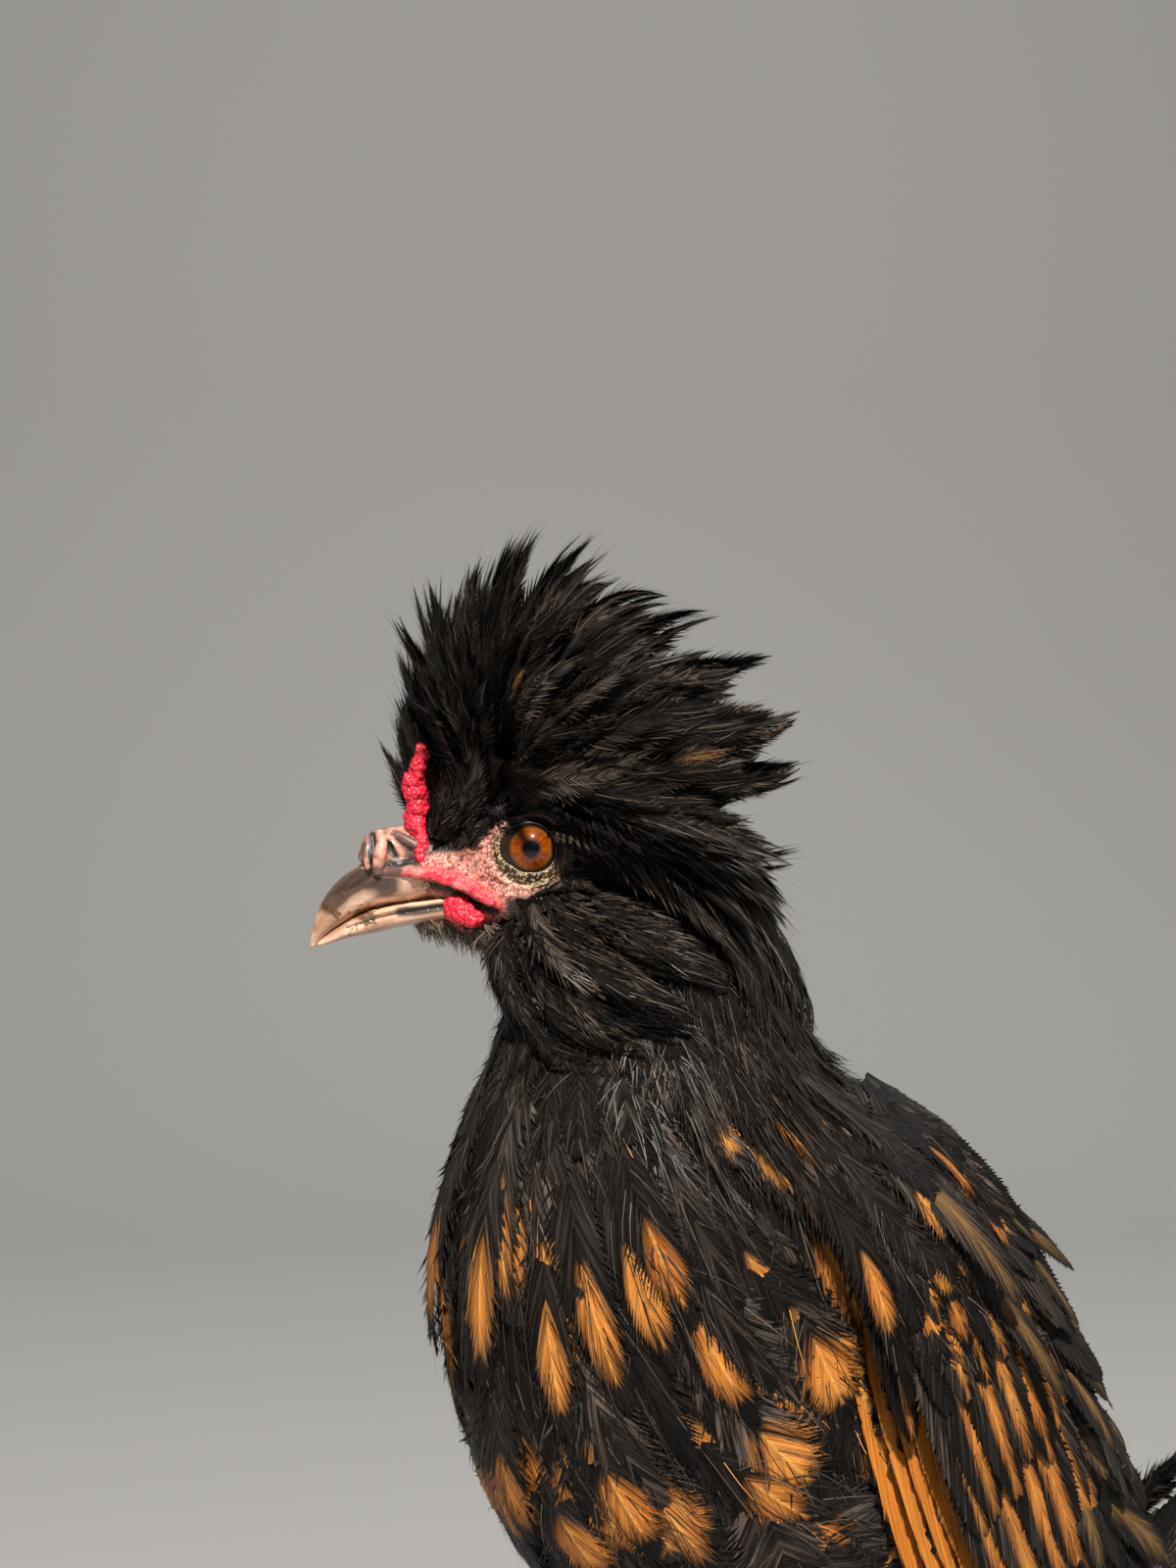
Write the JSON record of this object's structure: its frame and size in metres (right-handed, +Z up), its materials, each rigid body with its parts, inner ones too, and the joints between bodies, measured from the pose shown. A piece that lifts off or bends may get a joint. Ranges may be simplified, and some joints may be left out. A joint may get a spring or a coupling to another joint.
{
  "type": "polish crested chicken",
  "caption": "Life-size still model of a standing crested chicken with a full feather crest, beard, short V comb, folded wings and a low tail.",
  "frame": {"origin": "on the floor, in the middle of the base of the bird's box", "axes": "+Z up, -Y ahead of the body, +X to the bird's left"},
  "size_m": [0.1228, 0.2916, 0.4],
  "materials": {
    "plumage": "black contour feathers with gold centres on the breast",
    "crest": "glossy black narrow feathers",
    "flight": "black and gold flight feathers with pale shafts",
    "face": "bare pinkish red skin with fine dark bristles",
    "comb": "crimson grained skin",
    "horn": "flesh coloured horn with slate brown patches",
    "eye": "clear wet cornea over an orange iris",
    "leg": "slate grey scales"
  },
  "bodies": {
    "root": {"torso": "plumage", "neck": "crest", "head": "face", "beard": "crest", "crest": "crest", "beak_upper": "horn", "beak_lower": "horn", "tail": "flight", "comb_left": "comb", "wattle_left": "comb", "eye_left": "eye", "wing_left": "flight", "thigh_left": "plumage", "shank_left": "leg", "foot_left": "leg", "claw_left_1": "horn", "claw_left_2": "horn", "claw_left_3": "horn", "claw_left_4": "horn", "comb_right": "comb", "wattle_right": "comb", "eye_right": "eye", "wing_right": "flight", "thigh_right": "plumage", "shank_right": "leg", "foot_right": "leg", "claw_right_1": "horn", "claw_right_2": "horn", "claw_right_3": "horn", "claw_right_4": "horn"}
  },
  "joints": []
}
